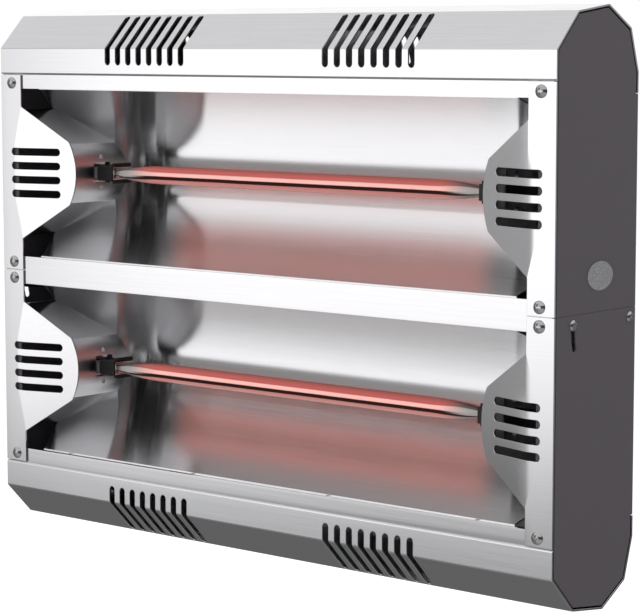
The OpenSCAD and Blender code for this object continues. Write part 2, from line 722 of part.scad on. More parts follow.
// Lamps: a quartz tube drawn in to a flat seal at each end
taper_steps = 8;
tube_end = holder_x + tube_entry;
tube_straight = tube_end - tube_taper;
seal_out = tube_end + seal_reach;
coil_half = tube_straight + coil_reach;
function taper_r(s) = tube_neck_dia / 2 + (tube_dia - tube_neck_dia) / 2 * (1 - s * s);
tube_half = [for (i = [0:taper_steps])
  [taper_r(i / taper_steps), tube_straight + tube_taper * i / taper_steps]];
tube_bore_half = [for (i = [taper_steps:-1:0])
  [max(tube_half[i].x - tube_wall, lead_dia / 2 + lead_gap), tube_half[i].y]];
module lamp_tube() translate([0, lamp_d, 0]) difference() {
  union() {
    rotate([0, 90, 0]) rotate_extrude() polygon(concat(
      [for (i = [taper_steps:-1:0]) [tube_half[i].x, -tube_half[i].y]], tube_half,
      tube_bore_half, [for (i = [taper_steps:-1:0])
        [tube_bore_half[i].x, -tube_bore_half[i].y]]));
    both_sides() translate([seal_out - seal_len, -seal_d / 2, -seal_t / 2])
      cube([seal_len, seal_d, seal_t]);
  }
  rotate([0, 90, 0]) cylinder(d = lead_dia + 2 * lead_gap, h = 2 * seal_out + over, center = true);
}
clip_out = holder_x + clip_len;
lead_out = clip_out - clip_t - lead_gap;
module filament() translate([-lead_out, lamp_d, 0]) {
  rod_x(lead_dia, 2 * lead_out);
  translate([lead_out - coil_half, 0, 0]) rod_x(coil_dia, 2 * coil_half);
}
module upper_lamp_tube() color("mistyrose", 0.5) in_case() upper() lamp_tube();
module lower_lamp_tube() color("mistyrose", 0.5) in_case() lower() lamp_tube();
module upper_filament() color("orangered") in_case() upper() filament();
module lower_filament() color("orangered") in_case() lower() filament();

// Ceramic lamp holders: a spring clip lines a pocket that is open to the lamp and at the back
clip_front = lamp_d - block_d / 2 + pocket_wall;
clip_d = block_d - pocket_wall;
module lamp_holder() translate([holder_x, lamp_d, 0]) {
  difference() {
    union() {
      translate([0, -block_d / 2, -block_h / 2]) cube([block_len, block_d, block_h]);
      translate([0, block_d / 2 - collar_d, -collar_h / 2]) cube([collar_t, collar_d, collar_h]);
    }
    translate([-over, pocket_wall - block_d / 2, -clip_h / 2])
      cube([clip_len + over, block_d, clip_h]);
  }
  translate([block_len, -neck_w / 2, -neck_w / 2]) cube([neck_len, neck_w, neck_w]);
}
module lamp_clip() {
  translate([holder_x, clip_front, 0]) difference() {
    translate([0, 0, -clip_h / 2]) cube([clip_len, clip_d, clip_h]);
    translate([-over, clip_web_t, clip_t - clip_h / 2])
      cube([clip_len - clip_t + over, clip_d, clip_h - 2 * clip_t]);
  }
  both_heights() translate([seal_out - dimple_dia, lamp_d, seal_t / 2 + dimple_gap])
    cylinder(d = dimple_dia, h = clip_h / 2 - clip_t / 2 - seal_t / 2 - dimple_gap);
}
strap_x = holder_x + block_len + strap_stand;
strap_gap = fix_gap * 2;
strap_front = neck_w / 2 + strap_gap + strap_t;
module holder_bracket() {
  difference() {
    translate([foot_x, lamp_d - foot_len / 2, -foot_h / 2]) cube([strap_t, foot_len, foot_h]);
    translate([0, lamp_d - neck_w / 2 - strap_gap, -neck_w / 2 - strap_gap])
      cube([half_w, neck_w + 2 * strap_gap, neck_w + 2 * strap_gap]);
    foot_rivet_places() rod_x(rivet_dia + 2 * fix_gap, neck_len);
  }
  translate([strap_x, lamp_d - strap_front, -strap_h / 2])
    cube([foot_x + strap_t - strap_x, strap_t, strap_h]);
}
foot_rivet_len = foot_x + strap_t - foot_rivet_in;
module foot_rivet_pair() foot_rivet_places() {
  rod_x(rivet_dia, foot_rivet_len);
  translate([foot_rivet_len, 0, 0]) rod_x(rivet_head_dia, rivet_head_h);
}
module upper_right_lamp_holder() color("black") in_case() upper() lamp_holder();
module upper_left_lamp_holder() color("black") in_case() upper() left() lamp_holder();
module lower_right_lamp_holder() color("black") in_case() lower() lamp_holder();
module lower_left_lamp_holder() color("black") in_case() lower() left() lamp_holder();
module upper_right_lamp_clip() color("gold") in_case() upper() lamp_clip();
module upper_left_lamp_clip() color("gold") in_case() upper() left() lamp_clip();
module lower_right_lamp_clip() color("gold") in_case() lower() lamp_clip();
module lower_left_lamp_clip() color("gold") in_case() lower() left() lamp_clip();
module upper_right_holder_bracket() color("slategray") in_case() upper() holder_bracket();
module upper_left_holder_bracket() color("slategray") in_case() upper() left() holder_bracket();
module lower_right_holder_bracket() color("slategray") in_case() lower() holder_bracket();
module lower_left_holder_bracket() color("slategray") in_case() lower() left() holder_bracket();
module holder_rivets() color("gray") in_case() {
  upper() both_sides() foot_rivet_pair();
  lower() both_sides() foot_rivet_pair();
}

// Wiring: each lamp wire runs behind its end reflector to the terminal block
wire_sides = 8;
wire_bend = 3 * wire_dia;
wire_bend_steps = 4;
// A direction that no run of the wires comes near
wire_cross = [0, 1, 0.6];
// Route whose corners are eased over a reach
function eased(route, reach) = concat([route[0]],
  [for (i = [1:len(route) - 2])
    let (corner = route[i])
    let (from = corner + unit(route[i - 1] - corner) * reach)
    let (to = corner + unit(route[i + 1] - corner) * reach)
    for (j = [0:wire_bend_steps])
      let (t = j / wire_bend_steps)
      from * pow(1 - t, 2) + corner * 2 * t * (1 - t) + to * pow(t, 2)],
  [route[len(route) - 1]]);
module tube(route, d) {
  last = len(route) - 1;
  rings = [for (i = [0:last])
    let (run = unit(route[min(i + 1, last)] - route[max(i - 1, 0)]))
    let (side = unit(cross(run, wire_cross)))
    for (k = [0:wire_sides - 1])
      let (a = 360 * k / wire_sides)
      route[i] + d / 2 * (cos(a) * side + sin(a) * cross(side, run))];
  walls = [for (i = [0:last - 1]) for (k = [0:wire_sides - 1])
    let (here = i * wire_sides, next = (k + 1) % wire_sides)
    each [[here + k, here + wire_sides + next, here + wire_sides + k],
      [here + k, here + next, here + wire_sides + next]]];
  ends = [for (k = [1:wire_sides - 2])
    each [[0, k + 1, k],
      [last * wire_sides, last * wire_sides + k, last * wire_sides + k + 1]]];
  polyhedron(rings, concat(walls, ends));
}
wire_bay_x = (holder_out + arm_in - nut_t) / 2;
wire_back = panel_front - 2 * wire_dia;
terminal_wire_z = terminal_h / 4;
wire_turn_share = 0.8;
module lamp_wire() tube(eased([[holder_out, lamp_d, lamp_pitch / 2],
  [wire_bay_x, lamp_d, lamp_pitch / 2],
  [wire_bay_x, wire_back, lamp_pitch / 2 - lamp_d / 2],
  [wire_bay_x, wire_back, terminal_h],
  [terminal_w * wire_turn_share, wire_back, terminal_wire_z],
  [terminal_w / 2, wire_back, terminal_wire_z]], wire_bend), wire_dia);
module upper_right_lamp_wire() color("crimson") in_case() lamp_wire();
module upper_left_lamp_wire() color("crimson") in_case() left() lamp_wire();
module lower_right_lamp_wire() color("navy") in_case() mirror([0, 0, 1]) lamp_wire();
module lower_left_lamp_wire() color("navy") in_case() mirror([0, 0, 1]) left() lamp_wire();
pole_pitch = terminal_w / terminal_poles;
module terminal_places() for (i = [0:terminal_poles - 1])
  translate([(i - (terminal_poles - 1) / 2) * pole_pitch, panel_front - terminal_d, 0])
    children();
terminal_well_share = 0.4;
terminal_well = terminal_d * terminal_well_share;
terminal_slot = terminal_screw_dia / 5;
module terminal_block() color("ivory") in_case() difference() {
  translate([-terminal_w / 2, panel_front - terminal_d, -terminal_h / 2])
    cube([terminal_w, terminal_d, terminal_h]);
  terminal_places() both_heights() translate([0, -over, terminal_wire_z])
    rod_y(terminal_screw_dia + 2 * fix_gap, terminal_well + over);
  both_sides() translate([terminal_rivet_x, 0, 0]) rod_y(rivet_dia + 2 * fix_gap, case_d);
}
module terminal_screws() color("goldenrod") in_case() terminal_places() both_heights()
  translate([0, terminal_well / 2, terminal_wire_z]) difference() {
    rod_y(terminal_screw_dia, terminal_well / 2);
    translate([-terminal_screw_dia, 0, -terminal_slot / 2])
      cube([2 * terminal_screw_dia, terminal_slot, terminal_slot]);
  }
gland_neck_share = 0.86;
gland_grip_share = 0.6;
gland_mouth_share = 1.5;
gland_neck_dia = gland_dia * gland_neck_share;
gland_grip = gland_cap_len * gland_grip_share;
module at_gland() translate([gland_x, panel_back, -gland_low]) rotate([-90, 0, 0]) children();
module cable_gland_body() color("darkslategray") in_case() at_gland() difference() {
  union() {
    cylinder(d = gland_hex_w, h = gland_hex_len, $fn = 6);
    translate([0, 0, -panel_t - gland_thread_len])
      cylinder(d = gland_dia, h = gland_thread_len + panel_t + gland_hex_len);
    cylinder(d = gland_neck_dia, h = gland_hex_len + gland_grip);
  }
  cylinder(d = gland_bore, h = 4 * gland_cap_len, center = true);
}
module cable_gland_cap() color("darkslategray") in_case() at_gland()
  translate([0, 0, gland_hex_len]) difference() {
    union() {
      cylinder(d = gland_hex_w, h = gland_grip, $fn = 6);
      cylinder(d1 = gland_hex_w * gland_neck_share, d2 = gland_bore * gland_mouth_share,
        h = gland_cap_len);
    }
    translate([0, 0, -over]) cylinder(d = gland_neck_dia + 2 * fix_gap,
      h = gland_grip + over + fix_gap);
    cylinder(d = gland_bore, h = 2 * gland_cap_len);
  }
module cable_gland_lock_nut() color("darkslategray") in_case() at_gland()
  translate([0, 0, -panel_t - gland_nut_t]) difference() {
    cylinder(d = gland_hex_w, h = gland_nut_t, $fn = 6);
    translate([0, 0, -over]) cylinder(d = gland_dia + 2 * fix_gap, h = gland_nut_t + 2 * over);
  }

// Fasteners of the case
module frame_screw() {
  rod_y(frame_screw_dia, frame_screw_len);
  rotate([90, 0, 0]) pan_head(frame_head_dia, frame_head_h);
}
module frame_screws() color("silver") in_case() both_sides() both_heights()
  for (h = [frame_screw_low, joint_h - frame_screw_high])
    translate([frame_screw_x, 0, h]) frame_screw();
rivet_grip = hood_t + panel_t + rivet_dia / 2;
rivet_dome_share = 0.62;
rivet_dome_r = rivet_head_dia * rivet_dome_share;
module rivet(grip) {
  rod_y(rivet_dia, grip);
  rotate([90, 0, 0]) intersection() {
    cylinder(d = rivet_head_dia, h = rivet_head_h);
    translate([0, 0, rivet_head_h - rivet_dome_r]) sphere(rivet_dome_r);
  }
}
module rear_rivets() color("silver") in_case() both_sides() {
  both_heights() {
    lap_rivet_places() translate([0, case_d, 0]) mirror([0, 1, 0]) rivet(rivet_grip);
    cover_rivet_places() translate([0, panel_back, 0]) mirror([0, 1, 0]) rivet(rivet_grip);
  }
  translate([terminal_rivet_x, panel_back, 0]) mirror([0, 1, 0]) rivet(terminal_d);
}
module rail_rivets() color("silver") in_case() both_sides() both_heights() rail_rivet_places()
  translate([0, 0, rail_h]) {
    translate([0, 0, -2 * rail_t])
      cylinder(d = rivet_dia, h = 2 * rail_t + hood_t);
    translate([0, 0, hood_t]) cylinder(d = rivet_head_dia, h = rivet_head_h);
  }

// Tilt bracket: a flat bar folded round the back of the case, its arms inside the end covers
arm_corner = web_back - case_d;
arm_path = [[-arm_out, 0], [-arm_out, case_d], [arm_corner - arm_out, web_back],
  [arm_out - arm_corner, web_back], [arm_out, case_d], [arm_out, 0]];
module arm_outline() {
  translate([clamp_d, 0]) circle(d = arm_tip_h);
  polygon([[clamp_d, -arm_tip_h / 2], [crown_d, -arm_h / 2], [web_back + over, -arm_h / 2],
    [web_back + over, arm_h / 2], [crown_d, arm_h / 2], [clamp_d, arm_tip_h / 2]]);
}
module at_bolts() for (s = [-1, 1]) translate([s * bolt_x / 2, 0, -pivot_drop]) children();
module tilt_bracket() color("gray") in_case() difference() {
  intersection() {
    translate([0, 0, -pivot_drop]) linear_extrude(arm_h, center = true)
      polygon(strip(folded(arm_path, arm_bend_r, arm_bend_r), arm_t));
    translate([0, 0, -pivot_drop]) along_x(case_w) arm_outline();
  }
  for (d = [pivot_d, clamp_d]) translate([-half_w, d, -pivot_drop])
    rod_x(side_screw_dia + 2 * fix_gap, case_w);
  at_bolts() rod_y(bolt_dia + 2 * fix_gap, wall_d);
}
module arm_nuts() color("silver") in_case() both_sides() for (d = [pivot_d, clamp_d])
  translate([arm_in - nut_t, d, -pivot_drop]) difference() {
    translate([0, -nut_w / 2, -nut_w / 2]) cube([nut_t, nut_w, nut_w]);
    translate([-over, 0, 0]) rod_x(side_screw_dia + 2 * fix_gap, nut_t + 2 * over);
  }
side_screw_len = cover_out - arm_in + nut_t + over;
module side_screw() {
  translate([cover_out - side_screw_len, 0, 0])
    rod_x(side_screw_dia, side_screw_len + side_head_gap);
  translate([cover_out + side_head_gap, 0, 0]) rotate([0, 90, 0])
    pan_head(side_head_dia, side_head_h);
}
module pivot_screws() color("silver") in_case() both_sides()
  translate([0, pivot_d, -pivot_drop]) side_screw();
module clamp_screws() color("silver") in_case() both_sides()
  translate([0, clamp_d, -pivot_drop]) side_screw();

// Wall bracket: a raised web between two flanges that lie on the wall
module wall_bracket() color("gray") in_case() translate([0, 0, -pivot_drop]) difference() {
  along_x(wall_w) polygon(strip([[wall_d, wall_h / 2], [wall_d, hat_base_h / 2],
    [hat_back, hat_top_h / 2], [hat_back, -hat_top_h / 2],
    [wall_d, -hat_base_h / 2], [wall_d, -wall_h / 2]], wall_t));
  for (sx = [-1, 1]) {
    for (sz = [-1, 1]) translate([sx * hole_x / 2, web_back, sz * hole_z / 2])
      rod_y(hole_dia, wall_d);
    translate([sx * bolt_x / 2, 0, 0]) rod_y(bolt_dia + 2 * fix_gap, wall_d);
  }
}
bolt_socket_share = 0.8;
module bracket_bolts() color("silver") in_case() at_bolts() {
  translate([0, web_front, 0])
    rod_y(bolt_dia, arm_t + wall_t + bolt_nut_h + over);
  translate([0, web_front - bolt_head_h, 0]) difference() {
    rod_y(bolt_head_dia, bolt_head_h);
    translate([0, -over, 0]) rotate([-90, 0, 0])
      cylinder(d = bolt_dia * bolt_socket_share, h = bolt_head_h / 2 + over, $fn = 6);
  }
}
module bracket_nuts() color("silver") in_case() at_bolts() translate([0, hat_back, 0])
  rotate([-90, 0, 0]) difference() {
    cylinder(d = bolt_nut_w, h = bolt_nut_h, $fn = 6);
    translate([0, 0, -over]) cylinder(d = bolt_dia + 2 * fix_gap, h = bolt_nut_h + 2 * over);
  }

top_hood();
bottom_hood();
rear_panel();
upper_left_end_cover();
upper_right_end_cover();
lower_left_end_cover();
lower_right_end_cover();
end_badge();
upper_left_stile();
upper_right_stile();
lower_left_stile();
lower_right_stile();
top_rail();
middle_rail();
bottom_rail();
upper_reflector();
lower_reflector();
upper_left_end_reflector();
upper_right_end_reflector();
lower_left_end_reflector();
lower_right_end_reflector();
upper_lamp_tube();
lower_lamp_tube();
upper_filament();
lower_filament();
upper_left_lamp_holder();
upper_right_lamp_holder();
lower_left_lamp_holder();
lower_right_lamp_holder();
upper_left_lamp_clip();
upper_right_lamp_clip();
lower_left_lamp_clip();
lower_right_lamp_clip();
upper_left_holder_bracket();
upper_right_holder_bracket();
lower_left_holder_bracket();
lower_right_holder_bracket();
holder_rivets();
upper_left_lamp_wire();
upper_right_lamp_wire();
lower_left_lamp_wire();
lower_right_lamp_wire();
terminal_block();
terminal_screws();
cable_gland_body();
cable_gland_cap();
cable_gland_lock_nut();
frame_screws();
rail_rivets();
rear_rivets();
tilt_bracket();
arm_nuts();
pivot_screws();
clamp_screws();
wall_bracket();
bracket_bolts();
bracket_nuts();
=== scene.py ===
import json
import math

import bmesh
import bpy
from mathutils import Matrix, Vector


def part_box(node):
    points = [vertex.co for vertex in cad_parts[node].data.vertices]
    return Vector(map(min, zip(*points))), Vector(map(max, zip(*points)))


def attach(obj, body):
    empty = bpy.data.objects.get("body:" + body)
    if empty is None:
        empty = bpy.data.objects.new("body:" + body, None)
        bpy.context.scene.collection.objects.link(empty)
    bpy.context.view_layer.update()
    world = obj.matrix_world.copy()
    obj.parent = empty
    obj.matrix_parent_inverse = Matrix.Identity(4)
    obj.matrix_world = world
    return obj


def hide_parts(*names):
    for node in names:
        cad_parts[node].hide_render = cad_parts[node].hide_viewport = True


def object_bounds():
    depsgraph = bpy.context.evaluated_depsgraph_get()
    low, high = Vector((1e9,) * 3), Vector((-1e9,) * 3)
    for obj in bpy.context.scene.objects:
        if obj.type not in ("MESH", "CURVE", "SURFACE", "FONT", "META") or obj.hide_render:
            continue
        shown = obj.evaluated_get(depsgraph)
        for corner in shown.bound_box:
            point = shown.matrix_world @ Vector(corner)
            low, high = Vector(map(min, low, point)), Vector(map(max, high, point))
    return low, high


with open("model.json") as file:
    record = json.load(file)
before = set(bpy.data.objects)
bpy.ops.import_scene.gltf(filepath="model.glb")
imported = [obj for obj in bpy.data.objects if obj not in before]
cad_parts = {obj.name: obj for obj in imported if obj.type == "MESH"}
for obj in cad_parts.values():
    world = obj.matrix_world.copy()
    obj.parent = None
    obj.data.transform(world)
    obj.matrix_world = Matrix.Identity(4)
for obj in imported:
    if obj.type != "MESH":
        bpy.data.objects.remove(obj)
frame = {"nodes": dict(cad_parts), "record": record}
cad_low, cad_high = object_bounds()

MM = 0.001
UNITS = ("upper", "lower")

# Places of the case, read from the frame
front_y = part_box("upper_left_stile")[0].y
middle_z = (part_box("top_hood")[1].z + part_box("bottom_hood")[0].z) / 2


def in_case(x, depth, height):
    """A point given in millimetres from the middle of the case's front plane."""
    return Vector((x * MM, front_y + depth * MM, middle_z + height * MM))


# Camera
PHOTO_WIDTH = 640
FOCAL_PIXELS = 2372
SENSOR = 36.0
CAMERA_PLACE = in_case(971.7, -1063.8, 151.6)
CAMERA_YAW = math.radians(40.75)
CAMERA_DIP = math.radians(6.4)
CAMERA_ROLL = math.radians(-0.06)


def make_camera():
    """The camera at the photograph's place, looking left of +Y and a little down."""
    lens = bpy.data.cameras.new("camera")
    lens.sensor_width = SENSOR
    lens.lens = FOCAL_PIXELS / PHOTO_WIDTH * SENSOR
    lens.clip_end = 50
    camera = bpy.data.objects.new("camera", lens)
    level = Matrix.Rotation(CAMERA_YAW, 4, "Z") @ Matrix.Rotation(math.pi / 2 - CAMERA_DIP, 4, "X")
    camera.matrix_world = Matrix.Translation(CAMERA_PLACE) @ level @ Matrix.Rotation(
        CAMERA_ROLL, 4, "Z"
    )
    bpy.context.scene.collection.objects.link(camera)
    bpy.context.scene.camera = camera


# Nodes of materials
def add(tree, kind, inputs=None, **settings):
    """A node with its settings; each input is a plain value or another node's socket."""
    made = tree.nodes.new(kind)
    for name, value in settings.items():
        setattr(made, name, value)
    for name, value in (inputs or {}).items():
        if isinstance(value, bpy.types.NodeSocket):
            tree.links.new(value, made.inputs[name])
        else:
            made.inputs[name].default_value = value
    return made


def number(tree, operation, first, second):
    """The result of one sum on two numbers or sockets."""
    return add(tree, "ShaderNodeMath", {0: first, 1: second}, operation=operation).outputs[0]


def fade(tree, value, low, high, start=0.0, end=1.0):
    """A value eased from start to end as it goes from low to high."""
    return add(
        tree,
        "ShaderNodeMapRange",
        {"Value": value, "From Min": low, "From Max": high, "To Min": start, "To Max": end},
        interpolation_type="SMOOTHSTEP",
    ).outputs["Result"]


def blend_colour(tree, share, first, second):
    """Two colours mixed by a share."""
    mix = add(tree, "ShaderNodeMix", data_type="RGBA")
    for index, value in ((0, share), (6, first), (7, second)):
        if isinstance(value, bpy.types.NodeSocket):
            tree.links.new(value, mix.inputs[index])
        else:
            mix.inputs[index].default_value = value
    return mix.outputs[2]


def new_group(name, inputs, outputs):
    """An empty shader group with named inputs and outputs."""
    tree = bpy.data.node_groups.new(name, "ShaderNodeTree")
    for label, kind, value in inputs:
        tree.interface.new_socket(label, in_out="INPUT", socket_type=kind).default_value = value
    for label in outputs:
        tree.interface.new_socket(label, in_out="OUTPUT", socket_type="NodeSocketFloat")
    return tree, tree.nodes.new("NodeGroupInput").outputs, tree.nodes.new("NodeGroupOutput").inputs


def streaks_group():
    """Brushed or rolled streaks: long along the sheet's grain and fine across it."""
    tree, given, result = new_group(
        "sheet_streaks",
        [("Stretch", "NodeSocketVector", (10, 900, 900)), ("Contrast", "NodeSocketFloat", 1.0)],
        ["Streak"],
    )
    place = add(tree, "ShaderNodeTexCoord").outputs["Object"]
    along = add(
        tree, "ShaderNodeVectorMath", {0: place, 1: given["Stretch"]}, operation="MULTIPLY"
    ).outputs[0]
    fine = add(
        tree,
        "ShaderNodeTexNoise",
        {"Vector": along, "Scale": 1.0, "Detail": 4.0, "Roughness": 0.65},
    ).outputs[0]
    centred = number(tree, "SUBTRACT", fine, 0.5)
    strong = number(tree, "MULTIPLY", centred, given["Contrast"])
    tree.links.new(number(tree, "ADD", strong, 0.5), result["Streak"])
    return tree


def grain_group():
    """Fine round grain of powder coat, ceramic or moulded plastic."""
    tree, given, result = new_group(
        "fine_grain", [("Scale", "NodeSocketFloat", 1500.0)], ["Height", "Speck"]
    )
    place = add(tree, "ShaderNodeTexCoord").outputs["Object"]
    bumps = add(
        tree, "ShaderNodeTexNoise", {"Vector": place, "Scale": given["Scale"], "Detail": 2.0}
    ).outputs[0]
    tree.links.new(bumps, result["Height"])
    cells = add(tree, "ShaderNodeTexVoronoi", {"Vector": place, "Scale": given["Scale"]})
    tree.links.new(fade(tree, cells.outputs["Distance"], 0.1, 0.45, 1.0, 0.0), result["Speck"])
    return tree


def dust_group():
    """Thin dust that settles on what faces up."""
    tree, given, result = new_group("settled_dust", [("Amount", "NodeSocketFloat", 0.2)], ["Mask"])
    up = add(
        tree,
        "ShaderNodeSeparateXYZ",
        {"Vector": add(tree, "ShaderNodeNewGeometry").outputs["Normal"]},
    ).outputs["Z"]
    place = add(tree, "ShaderNodeTexCoord").outputs["Object"]
    cloud = add(
        tree,
        "ShaderNodeTexNoise",
        {"Vector": place, "Scale": 45.0, "Detail": 5.0, "Roughness": 0.7},
    ).outputs[0]
    level = number(tree, "MULTIPLY", fade(tree, up, 0.3, 1.0), fade(tree, cloud, 0.3, 0.75))
    tree.links.new(number(tree, "MULTIPLY", level, given["Amount"]), result["Mask"])
    return tree


GROUPS = {
    "streaks": streaks_group(),
    "grain": grain_group(),
    "dust": dust_group(),
}


def effect(tree, name, **inputs):
    """One of the shared effects placed in a material with its own values."""
    made = tree.nodes.new("ShaderNodeGroup")
    made.node_tree = GROUPS[name]
    for label, value in inputs.items():
        made.inputs[label].default_value = value
    return made.outputs


def new_material(name, **constants):
    """A material with its Principled shader, and the constants set on that shader."""
    material = bpy.data.materials.new(name)
    material.use_nodes = True
    tree = material.node_tree
    shader = tree.nodes["Principled BSDF"]
    for label, value in constants.items():
        shader.inputs[label.replace("_", " ")].default_value = value
    return material, tree, shader


def colour(red, green, blue):
    """A colour with its alpha."""
    return (red, green, blue, 1.0)


def toned(base, level):
    """A colour made lighter or darker by a level."""
    return colour(*(part * level for part in base))


def bump(tree, shader, height, distance):
    """A Bump node of a real height, feeding the shader's normal."""
    made = add(tree, "ShaderNodeBump", {"Height": height, "Distance": distance, "Strength": 1.0})
    tree.links.new(made.outputs["Normal"], shader.inputs["Normal"])


def own_place(tree, axis=None):
    """The shaded point's place on its piece, or one part of it."""
    place = add(tree, "ShaderNodeTexCoord").outputs["Object"]
    if axis is None:
        return place
    return add(tree, "ShaderNodeSeparateXYZ", {"Vector": place}).outputs[axis]


def facing(tree, axis):
    """How far the surface faces along an axis."""
    normal = add(tree, "ShaderNodeNewGeometry").outputs["Normal"]
    return add(tree, "ShaderNodeSeparateXYZ", {"Vector": normal}).outputs[axis]


# Directions of the rolled grain of a sheet, as how fast the streaks change along x, y and z
ACROSS = (14.0, 1100.0, 1100.0)
UPRIGHT = (1100.0, 1100.0, 14.0)
SHEET_DUST = colour(0.5, 0.49, 0.47)
COAT_DUST = colour(0.42, 0.41, 0.4)


def sheet_metal(name, light, dark, rough, depth, dust, brushed=0.0):
    """Bare sheet: faint streaks along its grain, a little dust, and the blur of brushing."""
    material, tree, shader = new_material(name, Metallic=1.0, Anisotropic=brushed)
    if brushed:
        round_x = add(tree, "ShaderNodeTangent", direction_type="RADIAL", axis="X")
        tree.links.new(round_x.outputs["Tangent"], shader.inputs["Tangent"])
    streak = effect(tree, "streaks", Stretch=ACROSS, Contrast=1.2)["Streak"]
    film = effect(tree, "dust", Amount=dust)["Mask"]
    base = blend_colour(tree, fade(tree, streak, 0.25, 0.75), colour(*dark), colour(*light))
    tree.links.new(blend_colour(tree, film, base, SHEET_DUST), shader.inputs["Base Color"])
    grain = fade(tree, streak, 0.2, 0.8, rough * 0.94, rough * 1.06)
    dulled = number(tree, "ADD", grain, number(tree, "MULTIPLY", film, 0.3))
    tree.links.new(dulled, shader.inputs["Roughness"])
    bump(tree, shader, streak, depth)
    return material


def end_mirror(name):
    """Polished towards the lamp, and as rolled, dull and pale, on the side away from it."""
    material, tree, shader = new_material(name)
    outward = number(tree, "SIGN", own_place(tree, "X"), 0.0)
    side = number(tree, "MULTIPLY", outward, facing(tree, "X"))
    dull = fade(tree, side, -0.02, 0.02)
    streak = effect(tree, "streaks", Stretch=UPRIGHT, Contrast=1.2)["Streak"]
    polished = blend_colour(tree, streak, colour(0.72, 0.72, 0.74), colour(0.8, 0.8, 0.82))
    rolled = blend_colour(tree, streak, colour(0.55, 0.54, 0.56), colour(0.7, 0.69, 0.71))
    tree.links.new(blend_colour(tree, dull, polished, rolled), shader.inputs["Base Color"])
    tree.links.new(fade(tree, dull, 0.0, 1.0, 0.24, 0.4), shader.inputs["Roughness"])
    tree.links.new(fade(tree, dull, 0.0, 1.0, 1.0, 0.3), shader.inputs["Metallic"])
    bump(tree, shader, streak, 0.0005 * MM)
    return material


def painted(name, base, rough):
    """Powder coat: fine orange-peel grain in tone and gloss, and dust on top."""
    material, tree, shader = new_material(name)
    grain = effect(tree, "grain", Scale=1300.0)
    film = effect(tree, "dust", Amount=0.25)["Mask"]
    coat = blend_colour(tree, grain["Height"], toned(base, 0.9), toned(base, 1.1))
    tree.links.new(blend_colour(tree, film, coat, COAT_DUST), shader.inputs["Base Color"])
    specked = number(tree, "ADD", number(tree, "MULTIPLY", grain["Speck"], 0.08), rough)
    tree.links.new(specked, shader.inputs["Roughness"])
    bump(tree, shader, grain["Height"], 0.03 * MM)
    return material


def spangled_zinc(name):
    """Zinc-coated sheet whose crystals differ in tone."""
    material, tree, shader = new_material(name, Metallic=0.45)
    crystals = add(tree, "ShaderNodeTexVoronoi", {"Vector": own_place(tree), "Scale": 120.0})
    tint = add(tree, "ShaderNodeSeparateColor", {"Color": crystals.outputs["Color"]}).outputs[0]
    film = effect(tree, "dust", Amount=0.3)["Mask"]
    base = blend_colour(tree, tint, colour(0.5, 0.51, 0.53), colour(0.6, 0.61, 0.62))
    dusty = blend_colour(tree, film, base, colour(0.45, 0.44, 0.42))
    tree.links.new(dusty, shader.inputs["Base Color"])
    tree.links.new(fade(tree, tint, 0.0, 1.0, 0.34, 0.48), shader.inputs["Roughness"])
    bump(tree, shader, effect(tree, "grain", Scale=900.0)["Height"], 0.02 * MM)
    return material


def plain_metal(name, base, rough):
    """Turned, pressed or plated small metal pieces, with soft patches and fine marks."""
    material, tree, shader = new_material(name, Metallic=1.0)
    grain = effect(tree, "grain", Scale=2600.0)
    patch = effect(tree, "streaks", Stretch=(60.0, 60.0, 60.0), Contrast=1.0)["Streak"]
    tone = blend_colour(tree, patch, toned(base, 0.85), toned(base, 1.1))
    tree.links.new(tone, shader.inputs["Base Color"])
    gloss = fade(tree, patch, 0.3, 0.7, rough * 0.8, rough * 1.25)
    tree.links.new(gloss, shader.inputs["Roughness"])
    bump(tree, shader, grain["Height"], 0.015 * MM)
    return material


def ceramic(name, base, rough, coat):
    """Fired ceramic: a fine pitted body with a thin glaze."""
    material, tree, shader = new_material(name, Coat_Roughness=0.12)
    grain = effect(tree, "grain", Scale=1800.0)
    tone = blend_colour(tree, grain["Speck"], colour(*base), toned(base, 1.4))
    tree.links.new(tone, shader.inputs["Base Color"])
    gloss = fade(tree, grain["Height"], 0.3, 0.7, rough, rough * 1.3)
    tree.links.new(gloss, shader.inputs["Roughness"])
    glaze = fade(tree, grain["Speck"], 0.0, 1.0, coat, coat * 0.6)
    tree.links.new(glaze, shader.inputs["Coat Weight"])
    bump(tree, shader, grain["Height"], 0.02 * MM)
    return material


def moulded(name, base, rough):
    """Moulded plastic with a spark-eroded grain."""
    material, tree, shader = new_material(name)
    grain = effect(tree, "grain", Scale=1400.0)
    film = effect(tree, "dust", Amount=0.3)["Mask"]
    tone = blend_colour(tree, grain["Speck"], colour(*base), toned(base, 1.3))
    dusty = blend_colour(tree, film, tone, colour(0.4, 0.39, 0.37))
    tree.links.new(dusty, shader.inputs["Base Color"])
    gloss = fade(tree, grain["Height"], 0.3, 0.7, rough * 0.9, rough * 1.15)
    tree.links.new(gloss, shader.inputs["Roughness"])
    bump(tree, shader, grain["Height"], 0.03 * MM)
    return material


def braided_sleeve(name):
    """Woven heat-proof sleeve of the lamp wires."""
    material, tree, shader = new_material(name, Sheen_Weight=0.3)
    weave = add(
        tree,
        "ShaderNodeTexWave",
        {"Vector": own_place(tree), "Scale": 380.0, "Distortion": 2.0},
        bands_direction="DIAGONAL",
    ).outputs["Fac"]
    tone = blend_colour(tree, weave, colour(0.5, 0.46, 0.39), colour(0.78, 0.74, 0.66))
    tree.links.new(tone, shader.inputs["Base Color"])
    tree.links.new(fade(tree, weave, 0.0, 1.0, 0.9, 0.7), shader.inputs["Roughness"])
    bump(tree, shader, weave, 0.12 * MM)
    return material


